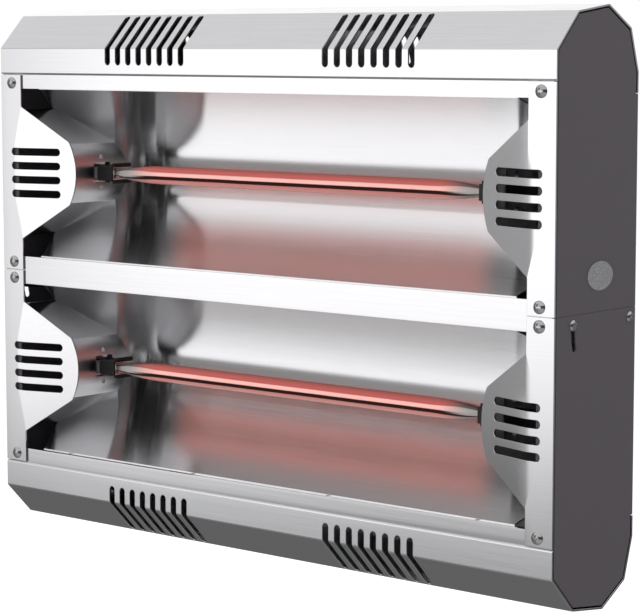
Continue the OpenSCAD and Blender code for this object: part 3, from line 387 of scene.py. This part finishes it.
def along_stops(tree, share, stops):
    """A colour that follows stops of (share, colour), with straight blends between them."""
    ramp = add(tree, "ShaderNodeValToRGB", {"Fac": share})
    marks = ramp.color_ramp.elements
    # A new ramp has a black mark and a white mark, and always keeps one mark
    marks.remove(marks[1])
    for place, shown in stops:
        marks.new(place).color = shown
    marks.remove(marks[0])
    return ramp.outputs["Color"]


def lamp_heat(tree, hot, cold):
    """How far a piece of the lamp glows: fully in the middle, not at all beyond the coil's end."""
    from_middle = number(tree, "ABSOLUTE", own_place(tree, "X"), 0.0)
    return fade(tree, from_middle, hot, cold, 1.0, 0.0)


DARK = colour(0.0, 0.0, 0.0)

# Bands round the quartz by how far its surface faces up, from its underside to its top: rose, a
# nearly black painted shade line, the glow with a painted bright band of the coil, dusky red
GLOW_AND_PAINTED_SHADE_BANDS = (
    (0.0, colour(0.3, 0.13, 0.11)),
    (0.06, colour(0.62, 0.26, 0.22)),
    (0.27, colour(0.56, 0.21, 0.18)),
    (0.29, colour(0.02, 0.001, 0.001)),
    (0.46, colour(0.02, 0.001, 0.001)),
    (0.49, colour(0.85, 0.52, 0.46)),
    (0.66, colour(0.95, 0.58, 0.54)),
    (0.7, colour(0.62, 0.13, 0.12)),
    (0.95, colour(0.46, 0.12, 0.1)),
    (1.0, colour(0.25, 0.09, 0.08)),
)
# Beyond the coil, the same bands in greys on clear quartz: a pale painted highlight line and a
# nearly black painted shade line
PAINTED_HIGHLIGHT_AND_SHADE_BANDS = (
    (0.0, colour(0.1, 0.09, 0.09)),
    (0.08, colour(0.36, 0.33, 0.33)),
    (0.27, colour(0.3, 0.27, 0.27)),
    (0.32, colour(0.02, 0.015, 0.015)),
    (0.41, colour(0.02, 0.015, 0.015)),
    (0.45, colour(0.75, 0.7, 0.68)),
    (0.67, colour(0.7, 0.64, 0.62)),
    (0.71, colour(0.22, 0.19, 0.19)),
    (0.95, colour(0.2, 0.17, 0.17)),
    (1.0, colour(0.06, 0.05, 0.05)),
)


def lit_quartz(name):
    """Quartz tube that glows beside its coil and is clear grey beyond it, with painted highlight
    and painted shade bands placed by how far its surface faces up.
    """
    material, tree, shader = new_material(
        name, Transmission_Weight=0.4, IOR=1.46, Emission_Strength=0.24
    )
    lit = lamp_heat(tree, 0.12, 0.142)
    cloud = effect(tree, "streaks", Stretch=(30.0, 260.0, 260.0), Contrast=1.2)["Streak"]
    wander = number(tree, "MULTIPLY", number(tree, "SUBTRACT", cloud, 0.5), 0.04)
    # Painted highlight and painted shade bands: the share round the tube comes from how far the
    # surface faces up
    half_up = number(tree, "MULTIPLY", facing(tree, "Z"), 0.5)
    height = number(tree, "ADD", number(tree, "ADD", half_up, 0.5), wander)
    glow_and_painted_shade = along_stops(tree, height, GLOW_AND_PAINTED_SHADE_BANDS)
    seen = blend_colour(tree, lit, along_stops(tree, height, PAINTED_HIGHLIGHT_AND_SHADE_BANDS), glow_and_painted_shade)
    tree.links.new(seen, shader.inputs["Base Color"])
    # The glow carries the same painted coil band and painted shade line
    glow = blend_colour(tree, lit, DARK, glow_and_painted_shade)
    tree.links.new(glow, shader.inputs["Emission Color"])
    tree.links.new(fade(tree, cloud, 0.3, 0.7, 0.03, 0.07), shader.inputs["Roughness"])
    return material


def glowing_coil(name):
    """Tungsten coil at an orange-red heat, cooler towards its ends."""
    material, tree, shader = new_material(name, Metallic=1.0, Emission_Strength=1.6)
    hot = lamp_heat(tree, 0.116, 0.126)
    cloud = effect(tree, "streaks", Stretch=(120.0, 400.0, 400.0), Contrast=1.0)["Streak"]
    heat = blend_colour(tree, cloud, colour(0.9, 0.36, 0.28), colour(1.0, 0.46, 0.38))
    tree.links.new(blend_colour(tree, hot, DARK, heat), shader.inputs["Emission Color"])
    tungsten = blend_colour(tree, cloud, colour(0.28, 0.27, 0.27), colour(0.4, 0.38, 0.37))
    tree.links.new(tungsten, shader.inputs["Base Color"])
    tree.links.new(fade(tree, cloud, 0.3, 0.7, 0.3, 0.5), shader.inputs["Roughness"])
    return material


def speckled_badge(name):
    """Blank badge: pale grey lacquer with darker specks."""
    material, tree, shader = new_material(name, Coat_Roughness=0.2)
    grain = effect(tree, "grain", Scale=1500.0)
    lacquer = blend_colour(tree, grain["Speck"], colour(0.2, 0.2, 0.21), colour(0.46, 0.46, 0.47))
    tree.links.new(lacquer, shader.inputs["Base Color"])
    tree.links.new(fade(tree, grain["Height"], 0.3, 0.7, 0.45, 0.6), shader.inputs["Roughness"])
    bump(tree, shader, grain["Height"], 0.04 * MM)
    return material


FINISHES = {
    "hood_metal": sheet_metal(
        "hood_metal",
        light=(0.88, 0.88, 0.9),
        dark=(0.84, 0.84, 0.86),
        rough=0.16,
        depth=0.001 * MM,
        dust=0.08,
        brushed=0.3,
    ),
    "front_metal": sheet_metal(
        "front_metal",
        light=(0.9, 0.89, 0.91),
        dark=(0.86, 0.85, 0.87),
        rough=0.14,
        depth=0.0008 * MM,
        dust=0.04,
    ),
    "panel_metal": spangled_zinc("panel_metal"),
    "cover_paint": painted("cover_paint", base=(0.087, 0.078, 0.089), rough=0.42),
    "badge_paint": speckled_badge("badge_paint"),
    "reflector_metal": sheet_metal(
        "reflector_metal",
        light=(0.93, 0.93, 0.94),
        dark=(0.89, 0.89, 0.9),
        rough=0.13,
        depth=0.0008 * MM,
        dust=0.03,
        brushed=0.9,
    ),
    "end_reflector_metal": end_mirror("end_reflector_metal"),
    "lamp_glass": lit_quartz("lamp_glass"),
    "filament_wire": glowing_coil("filament_wire"),
    "holder_ceramic": ceramic("holder_ceramic", base=(0.004, 0.0035, 0.004), rough=0.5, coat=0.12),
    "clip_metal": plain_metal("clip_metal", base=(0.84, 0.84, 0.83), rough=0.1),
    "strap_metal": plain_metal("strap_metal", base=(0.84, 0.84, 0.84), rough=0.1),
    "rivet_metal": plain_metal("rivet_metal", base=(0.75, 0.75, 0.77), rough=0.3),
    "screw_metal": plain_metal("screw_metal", base=(0.6, 0.6, 0.61), rough=0.06),
    "wire_sleeve": braided_sleeve("wire_sleeve"),
    "terminal_ceramic": ceramic("terminal_ceramic", base=(0.7, 0.67, 0.6), rough=0.45, coat=0.2),
    "terminal_brass": plain_metal("terminal_brass", base=(0.78, 0.57, 0.25), rough=0.3),
    "gland_plastic": moulded("gland_plastic", base=(0.02, 0.02, 0.022), rough=0.45),
    "bracket_paint": painted("bracket_paint", base=(0.014, 0.012, 0.014), rough=0.45),
}

# Which slot and which body each node belongs to
SLOT_OF = {part["node"]: part["material_slot"] for part in frame["record"]["subparts"]}
BODIES = frame["record"]["behaviour"]["bodies"]
BODY_OF = {node: body for body, nodes in BODIES.items() for node in nodes}


def place_piece(piece, *nodes):
    """Gives a piece the finish and the body of the nodes that it stands for."""
    slot = SLOT_OF[nodes[0]]
    piece.data.materials.clear()
    piece.data.materials.append(FINISHES[slot])
    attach(piece, BODY_OF[nodes[0]])
    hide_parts(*nodes)


def link_mesh(name, mesh):
    """An object of a mesh, placed in the scene."""
    piece = bpy.data.objects.new(name, mesh)
    bpy.context.scene.collection.objects.link(piece)
    return piece


# Pressed, folded and machined pieces keep the shape of their node, with eased edges
WELD = 0.002 * MM
FLAT = math.radians(0.6)
CREASE = math.radians(12)
SHARP = math.radians(28)

# Radius of the eased edges of each finish, in mm
EASE = {
    "hood_metal": 0.22,
    "front_metal": 0.22,
    "panel_metal": 0.15,
    "cover_paint": 0.3,
    "badge_paint": 0.18,
    "end_reflector_metal": 0.14,
    "holder_ceramic": 0.35,
    "clip_metal": 0.15,
    "strap_metal": 0.2,
    "rivet_metal": 0.1,
    "screw_metal": 0.12,
    "terminal_ceramic": 0.5,
    "terminal_brass": 0.1,
    "gland_plastic": 0.35,
    "bracket_paint": 0.4,
}


def eased_copy(node):
    """The node's shape welded into clean faces, its sharp edges rounded as a real sheet's are."""
    mesh = frame["nodes"][node].data.copy()
    if "custom_normal" in mesh.attributes:
        mesh.attributes.remove(mesh.attributes["custom_normal"])
    build = bmesh.new()
    build.from_mesh(mesh)
    bmesh.ops.remove_doubles(build, verts=build.verts, dist=WELD)
    bmesh.ops.dissolve_limit(build, angle_limit=FLAT, verts=build.verts, edges=build.edges)
    for face in build.faces:
        face.smooth = True
    for edge in build.edges:
        edge.smooth = not (edge.is_manifold and CREASE < edge.calc_face_angle() < SHARP)
    build.to_mesh(mesh)
    build.free()
    piece = link_mesh(node + "_piece", mesh)
    width = EASE.get(SLOT_OF[node], 0)
    if width:
        rounding = piece.modifiers.new("eased_edges", "BEVEL")
        rounding.width = width * MM
        rounding.segments = 2
        rounding.limit_method = "ANGLE"
        rounding.angle_limit = SHARP
        rounding.use_clamp_overlap = False
        rounding.miter_outer = "MITER_ARC"
    shading = piece.modifiers.new("face_normals", "WEIGHTED_NORMAL")
    shading.keep_sharp = True
    place_piece(piece, node)


def lofted(name, rings):
    """A closed skin through rings of points, each ring with as many points as the next."""
    count = len(rings[0])
    faces = []
    for first in range(0, (len(rings) - 1) * count, count):
        after = first + count
        for k in range(count):
            across = (k + 1) % count
            faces.append((first + k, first + across, after + across, after + k))
    faces.append(tuple(range(count))[::-1])
    faces.append(tuple(range((len(rings) - 1) * count, len(rings) * count)))
    mesh = bpy.data.meshes.new(name)
    mesh.from_pydata([point for ring in rings for point in ring], [], faces)
    mesh.update()
    return link_mesh(name, mesh)


def turn_outward(piece):
    """Makes all faces of a piece look outward."""
    build = bmesh.new()
    build.from_mesh(piece.data)
    bmesh.ops.recalc_face_normals(build, faces=build.faces)
    build.to_mesh(piece.data)
    build.free()


def smooth_below(piece, degrees):
    """Smooth shading, with creases where two faces meet at more than an angle."""
    piece.data.shade_smooth()
    piece.data.set_sharp_from_angle(angle=math.radians(degrees))


# Reflector troughs, in mm: half height grows as a power of the depth behind the mouth
TROUGH_CURVE = 0.52
TROUGH_STEPS = 44
TROUGH_SHEET = 0.8
TROUGH_LIP = 4.8
TROUGH_COLUMNS = 16
TROUGH_CREASE = 30

# Front outline of an end reflector, in mm: it follows the guard, round at the nose.
# Its root and its cut corner are given as (height from the lamp, distance from the middle).
GUARD_ANGLE = math.radians(16.5)
GUARD_LENGTH = 41.3
GUARD_ARC = 44.2
MIRROR_INSET = 2.0
NOSE_HEIGHT = 19.43
MIRROR_ROOT = (42.03, 207.2)
CORNER_CUT = (54.23, 194.8)


def mirror_reach(height, fold):
    """How far from the middle an end reflector stands at a height from the lamp."""
    up = min(abs(height), NOSE_HEIGHT)
    along = math.sqrt(GUARD_ARC**2 - up**2)
    lean = math.atan(math.cos(GUARD_ANGLE) * up / along)
    guard = math.cos(GUARD_ANGLE) * (GUARD_LENGTH - GUARD_ARC + along)
    nose = fold - guard + MIRROR_INSET / math.cos(lean)
    if abs(height) <= NOSE_HEIGHT:
        return nose
    low, high = (NOSE_HEIGHT, nose), MIRROR_ROOT
    if abs(height) > MIRROR_ROOT[0]:
        low, high = MIRROR_ROOT, CORNER_CUT
    share = min((abs(height) - low[0]) / (high[0] - low[0]), 1)
    return min(low[1] + (high[1] - low[1]) * share, fold)


def trough_profile(half, depth, mouth):
    """Outline of the mirror face from one lip round the crown to the other, in mm."""
    shares = [k / TROUGH_STEPS for k in range(-TROUGH_STEPS, TROUGH_STEPS + 1)]
    curve = [(mouth + depth * (1 - abs(up) ** (1 / TROUGH_CURVE)), half * up) for up in shares]
    return [(mouth, -half - TROUGH_LIP)] + curve + [(mouth, half + TROUGH_LIP)]


def behind(profile, sheet):
    """The profile moved out by the sheet's thickness."""
    moved = []
    last = len(profile) - 1
    for i, (depth, height) in enumerate(profile):
        before, after = profile[max(i - 1, 0)], profile[min(i + 1, last)]
        run = Vector((after[0] - before[0], after[1] - before[1])).normalized()
        moved.append((depth + run.y * sheet, height - run.x * sheet))
    return moved


def trough_sheet(unit):
    """One reflector, its ends cut along the folded end reflectors."""
    node = unit + "_reflector"
    low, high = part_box(node)
    mouth = (low.y - front_y) / MM
    depth = (high.y - low.y) / MM - TROUGH_SHEET
    half = (high.z - low.z) / MM / 2 - TROUGH_LIP
    centre = ((high.z + low.z) / 2 - middle_z) / MM
    widest = high.x / MM
    front = trough_profile(half, depth, mouth)
    section = front + behind(front, TROUGH_SHEET)[::-1]
    rings = []
    for column in range(TROUGH_COLUMNS + 1):
        share = 2 * column / TROUGH_COLUMNS - 1
        rings.append(
            [in_case(share * mirror_reach(z, widest), y, centre + z) for y, z in section]
        )
    piece = lofted(unit + "_trough_sheet", rings)
    turn_outward(piece)
    smooth_below(piece, TROUGH_CREASE)
    place_piece(piece, node)


# Quartz lamps, in mm: a round tube that is pressed to a flat seal at each end
TUBE_SIDES = 32
TUBE_R = 6.0
TUBE_WALL = 1.0
TUBE_STRAIGHT = 113.0
TAPER_STEPS = 10
SEAL_START = 152.0
SEAL_HALF_DEPTH = 4.25
SEAL_HALF_HEIGHT = 1.7
SEAL_EDGE = 0.4
BORE_TIP_HALF_DEPTH = 1.2
BORE_TIP_HALF_HEIGHT = 0.6
LAMP_CREASE = 50

# Squareness of a section: 2 is round, and a seal is nearly square
ROUND = 2.0
SQUARE = 6.0

# How far along the taper the bore reaches
BORE_SHARE = 0.75


def oval_ring(x, centre, half_depth, half_height, power):
    """A ring about the lamp's axis, from round at power 2 to nearly square above it."""
    ring = []
    for side in range(TUBE_SIDES):
        angle = 2 * math.pi * side / TUBE_SIDES
        back, up = math.cos(angle), math.sin(angle)
        depth = math.copysign(abs(back) ** (2 / power), back) * half_depth
        height = math.copysign(abs(up) ** (2 / power), up) * half_height
        ring.append(Vector((x, centre.y + depth, centre.z + height)))
    return ring


def half_lamp(seal_end):
    """Stations of half a lamp, each as (x, half depth, half height, squareness)."""
    stations = [(x, TUBE_R, TUBE_R, ROUND) for x in (0, TUBE_STRAIGHT / 2, TUBE_STRAIGHT)]
    for step in range(1, TAPER_STEPS + 1):
        drawn = (step / TAPER_STEPS) ** 2
        stations.append(
            (
                TUBE_STRAIGHT + (SEAL_START - TUBE_STRAIGHT) * step / TAPER_STEPS,
                TUBE_R + (SEAL_HALF_DEPTH - TUBE_R) * drawn,
                TUBE_R + (SEAL_HALF_HEIGHT - TUBE_R) * drawn,
                ROUND + (SQUARE - ROUND) * drawn,
            )
        )
    depth, height = SEAL_HALF_DEPTH, SEAL_HALF_HEIGHT
    stations.append((seal_end - SEAL_EDGE, depth, height, SQUARE))
    stations.append((seal_end, depth - SEAL_EDGE, height - SEAL_EDGE, SQUARE))
    return stations


def lamp_skin(name, half, centre):
    """A closed skin through the stations of both halves of a lamp."""
    whole = [(-x, depth, height, power) for x, depth, height, power in half[:0:-1]] + half
    rings = []
    for x, depth, height, power in whole:
        rings.append(oval_ring(x * MM, centre, depth * MM, height * MM, power))
    piece = lofted(name, rings)
    turn_outward(piece)
    return piece


def quartz_tube(unit):
    """The lamp's quartz: a tube drawn in to a flat pressed seal at each end, with its bore."""
    node = unit + "_lamp_tube"
    low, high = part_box(node)
    centre = (low + high) / 2
    outer = half_lamp(high.x / MM)
    piece = lamp_skin(unit + "_quartz_tube", outer, centre)
    bore_x = TUBE_STRAIGHT + (SEAL_START - TUBE_STRAIGHT) * BORE_SHARE
    bore = []
    for x, depth, height, power in outer:
        if x < bore_x:
            bore.append((x, depth - TUBE_WALL, height - TUBE_WALL, power))
    bore.append((bore_x + TUBE_WALL, BORE_TIP_HALF_DEPTH, BORE_TIP_HALF_HEIGHT, ROUND))
    hollow = lamp_skin("bore", bore, centre)
    hollow.data.flip_normals()
    build = bmesh.new()
    build.from_mesh(piece.data)
    build.from_mesh(hollow.data)
    build.to_mesh(piece.data)
    build.free()
    bpy.data.objects.remove(hollow)
    smooth_below(piece, LAMP_CREASE)
    place_piece(piece, node)


# Filaments, in mm
COIL_PITCH = 0.95
COIL_WIRE = 0.3
COIL_HALF = 122.0
COIL_LEAD_IN = 4.0
COIL_STEPS = 10


def filament(unit):
    """The coiled filament on its two leads, as one wire."""
    node = unit + "_filament"
    low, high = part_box(node)
    centre = (low + high) / 2
    coil_r = (high.z - low.z) / 2 - COIL_WIRE * MM
    coil_half = COIL_HALF * MM
    lead_start = coil_half + COIL_LEAD_IN * MM
    steps = round(2 * COIL_HALF / COIL_PITCH) * COIL_STEPS
    points = [Vector((x, centre.y, centre.z)) for x in (-high.x, -lead_start)]
    for step in range(steps + 1):
        angle = 2 * math.pi * step / COIL_STEPS
        x = -coil_half + 2 * coil_half * step / steps
        y = centre.y + coil_r * math.cos(angle)
        points.append(Vector((x, y, centre.z + coil_r * math.sin(angle))))
    points += [Vector((x, centre.y, centre.z)) for x in (lead_start, high.x)]
    curve = bpy.data.curves.new(unit + "_coil", "CURVE")
    curve.dimensions = "3D"
    curve.bevel_depth = COIL_WIRE * MM
    curve.bevel_resolution = 1
    curve.use_fill_caps = True
    wire = curve.splines.new("POLY")
    wire.points.add(len(points) - 1)
    for point, place in zip(wire.points, points):
        point.co = (*place, 1.0)
    piece = bpy.data.objects.new(unit + "_coil", curve)
    bpy.context.scene.collection.objects.link(piece)
    place_piece(piece, node)


# Studio: pale floor, a plain soft surround with a white panel in front, and two soft lights
FLOOR_DROP = 0.45
FLOOR_HALF = 7.0
FLOOR_LIFT = 0.55
PLAIN_LEVEL = 0.55
PANEL_LEVEL = 1.28
CEILING = 0.72

# Height of a direction where the panel gives way to the floor below, and to the ceiling above
FLOOR_STARTS = -0.21
FLOOR_WHOLE = -0.3
CEILING_STARTS = 0.25
CEILING_WHOLE = 0.55

# The floor as the metal shows it: lightest where it lies in front of the heater, to the right
GROUND_AIM = (0.43, -0.75, -0.5)
GROUND_AWAY = 0.13
GROUND_NEAR = 0.46

# Share of the panel's light in the metal, by degrees right of straight ahead. The white stretch
# far to the left is the background behind the heater.
PANEL_ROUND = (
    (-168, 0.06),
    (-160, 1.0),
    (-118, 1.0),
    (-110, 0.06),
    (-90, 0.12),
    (-74, 0.27),
    (-56, 0.3),
    (-50, 0.5),
    (-48.2, 0.7),
    (-47, 0.9),
    (-45.5, 1.0),
    (-8, 1.0),
    (6, 0.45),
    (25, 0.06),
    (110, 0.06),
    (165, 0.3),
)

# Share of the panel's light in the metal, by degrees up
PANEL_UP = (
    (-12.4, 0.2),
    (-10.8, 0.42),
    (-9, 0.8),
    (-6, 0.94),
    (-2, 1.0),
    (3, 1.0),
    (9, 0.9),
    (20, 0.62),
)


def shown_rays(tree):
    """1 for the rays that show the background plainly: to the camera and through glass."""
    path = add(tree, "ShaderNodeLightPath").outputs
    return number(tree, "MAXIMUM", path["Is Camera Ray"], path["Is Transmission Ray"])


def make_floor():
    """A plain pale floor that shows white and keeps the heater's shadow."""
    mesh = bpy.data.meshes.new("floor")
    z = cad_low.z - FLOOR_DROP
    corners = [(-1, -1), (1, -1), (1, 1), (-1, 1)]
    mesh.from_pydata([(FLOOR_HALF * x, FLOOR_HALF * y, z) for x, y in corners], [], [(0, 1, 2, 3)])
    floor = link_mesh("floor", mesh)
    material = bpy.data.materials.new("floor_white")
    material.use_nodes = True
    tree = material.node_tree
    tree.nodes.remove(tree.nodes["Principled BSDF"])
    pale = add(tree, "ShaderNodeBsdfDiffuse", {"Color": colour(0.9, 0.9, 0.9)})
    lift = add(tree, "ShaderNodeEmission", {"Color": colour(1, 1, 1), "Strength": FLOOR_LIFT})
    shown = add(tree, "ShaderNodeAddShader", {0: pale.outputs[0], 1: lift.outputs[0]})
    mix = add(
        tree,
        "ShaderNodeMixShader",
        {0: shown_rays(tree), 1: pale.outputs[0], 2: shown.outputs[0]},
    )
    tree.links.new(mix.outputs[0], tree.nodes["Material Output"].inputs["Surface"])
    mesh.materials.append(material)
    floor.visible_glossy = False


def between(tree, share, first, second):
    """Two numbers or sockets mixed by a share."""
    mix = add(tree, "ShaderNodeMix", {0: share, 2: first, 3: second}, data_type="FLOAT")
    return mix.outputs[0]


def level_by(tree, angle, stops):
    """A level that follows stops of (degrees, level), with straight lines between them."""
    share = add(
        tree, "ShaderNodeMapRange", {"Value": angle, "From Min": -math.pi, "From Max": math.pi}
    ).outputs["Result"]
    greys = [((degrees + 180) / 360, colour(level, level, level)) for degrees, level in stops]
    return along_stops(tree, share, greys)


def make_surround():
    """White to the camera, plain light on the heater, and to the metal a panel among cards."""
    world = bpy.data.worlds.new("studio")
    bpy.context.scene.world = world
    world.use_nodes = True
    tree = world.node_tree
    background = tree.nodes["Background"]
    towards = add(tree, "ShaderNodeTexCoord").outputs["Generated"]
    aim = add(tree, "ShaderNodeSeparateXYZ", {"Vector": towards}).outputs
    ahead = number(tree, "MULTIPLY", aim["Y"], -1.0)
    around = level_by(tree, number(tree, "ARCTAN2", aim["X"], ahead), PANEL_ROUND)
    rise = level_by(tree, number(tree, "ARCSINE", aim["Z"], 0.0), PANEL_UP)
    cards = number(tree, "MULTIPLY", number(tree, "MULTIPLY", around, rise), PANEL_LEVEL)
    near = add(
        tree, "ShaderNodeVectorMath", {0: towards, 1: GROUND_AIM}, operation="DOT_PRODUCT"
    ).outputs["Value"]
    ground = fade(tree, near, 0.0, 1.0, GROUND_AWAY, GROUND_NEAR)
    low = between(tree, fade(tree, aim["Z"], FLOOR_STARTS, FLOOR_WHOLE), cards, ground)
    studio = between(tree, fade(tree, aim["Z"], CEILING_STARTS, CEILING_WHOLE), low, CEILING)
    in_metal = add(tree, "ShaderNodeLightPath").outputs["Is Glossy Ray"]
    light = between(tree, in_metal, PLAIN_LEVEL, studio)
    strength = between(tree, shown_rays(tree), light, 1.0)
    tree.links.new(strength, background.inputs["Strength"])
    background.inputs["Color"].default_value = colour(1, 1, 1)


def soft_light(name, place, aim, width, height, watts):
    """A rectangular soft light that points at a place on the heater."""
    lamp = bpy.data.lights.new(name, "AREA")
    lamp.shape = "RECTANGLE"
    lamp.size = width
    lamp.size_y = height
    lamp.energy = watts
    light = bpy.data.objects.new(name, lamp)
    light.location = place
    light.rotation_euler = (Vector(aim) - Vector(place)).to_track_quat("-Z", "Y").to_euler()
    light.visible_glossy = False
    bpy.context.scene.collection.objects.link(light)


KEY_PLACE = (-1.4, -2.2, 1.6)
KEY_AIM = (0, front_y, 0)
SIDE_PLACE = (2.4, 0.4, 1.2)
SIDE_AIM = (0.2, front_y, 0)

make_camera()
make_floor()
make_surround()
soft_light("key", KEY_PLACE, KEY_AIM, width=1.6, height=1.2, watts=28)
soft_light("side", SIDE_PLACE, SIDE_AIM, width=1.0, height=1.6, watts=20)

for unit in UNITS:
    trough_sheet(unit)
    quartz_tube(unit)
    filament(unit)
OWN_SHAPE = {unit + kind for unit in UNITS for kind in ("_reflector", "_lamp_tube", "_filament")}
for node in sorted(set(frame["nodes"]) - OWN_SHAPE):
    eased_copy(node)

bpy.context.scene.view_settings.view_transform = "Standard"
